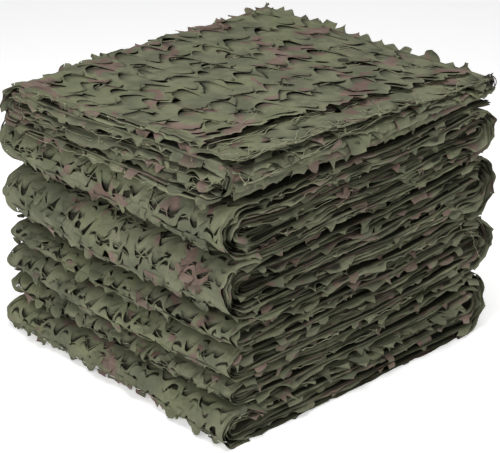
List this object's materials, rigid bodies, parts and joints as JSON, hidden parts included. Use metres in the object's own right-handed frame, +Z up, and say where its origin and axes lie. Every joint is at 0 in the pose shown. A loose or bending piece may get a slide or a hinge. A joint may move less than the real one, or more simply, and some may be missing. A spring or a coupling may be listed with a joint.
{
  "type": "folded camouflage net",
  "caption": "Large leaf-cut camouflage net, folded into a square pile of flat packets of its layers, for covering and screening.",
  "frame": {"origin": "under the middle of the pile, on the surface it rests on", "axes": "+Z up; +X along the sides that show the layers' edges; +Y away from the front, where the top packet's two free edges lie"},
  "size_m": [0.6186, 0.5582, 0.4702],
  "materials": {
    "leaf_cut_cloth": "matt woven cloth in olive green with brown patches, cut into leaf shaped tongues",
    "border_twine": "matt twisted twine, yellow green"
  },
  "bodies": {
    "root": {"net_cloth": "leaf_cut_cloth", "border_cord": "border_twine"}
  },
  "joints": []
}
